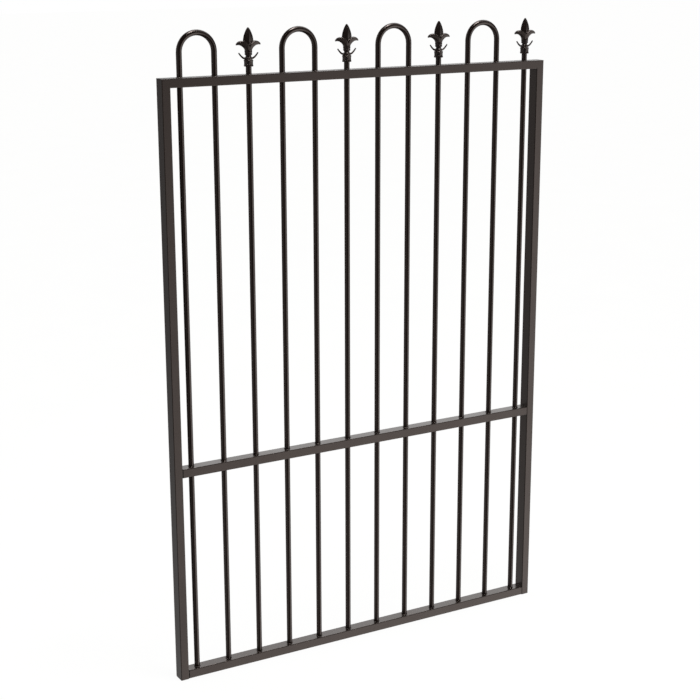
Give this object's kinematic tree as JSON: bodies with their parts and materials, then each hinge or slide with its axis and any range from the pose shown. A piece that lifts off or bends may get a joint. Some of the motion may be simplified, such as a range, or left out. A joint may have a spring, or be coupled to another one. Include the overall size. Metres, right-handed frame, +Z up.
{
  "type": "garden gate leaf",
  "caption": "Welded steel garden gate leaf with a rectangular tube frame, round infill bars bent over in hoops at the top, and cast spear finials on the single bars between them.",
  "frame": {"origin": "bottom centre of the frame, in the middle of its depth", "axes": "+X across the width towards the right stile seen from the front, -Y out of the front face, +Z up"},
  "size_m": [1.255, 0.038, 1.8763],
  "materials": {
    "frame_coating": "satin powder coat, very dark brown black",
    "bar_coating": "satin powder coat, very dark brown black",
    "finial_coating": "powder coated casting, slightly rougher than the bars",
    "weld_coating": "powder coated weld bead",
    "grub_screw_steel": "black oxide",
    "cap_plastic": "fine moulded texture"
  },
  "bodies": {
    "root": {"left_stile": "frame_coating", "right_stile": "frame_coating", "top_rail": "frame_coating", "middle_rail": "frame_coating", "bottom_rail": "frame_coating", "hoop_1": "bar_coating", "hoop_2": "bar_coating", "hoop_3": "bar_coating", "hoop_4": "bar_coating", "picket_1": "bar_coating", "picket_2": "bar_coating", "picket_3": "bar_coating", "picket_4": "bar_coating", "finial_1": "finial_coating", "finial_2": "finial_coating", "finial_3": "finial_coating", "finial_4": "finial_coating", "finial_grub_screws": "grub_screw_steel", "left_end_cap": "cap_plastic", "right_end_cap": "cap_plastic", "top_bar_welds": "weld_coating", "middle_bar_welds": "weld_coating", "bottom_bar_welds": "weld_coating", "rail_end_welds": "weld_coating", "corner_welds": "weld_coating"}
  },
  "joints": []
}
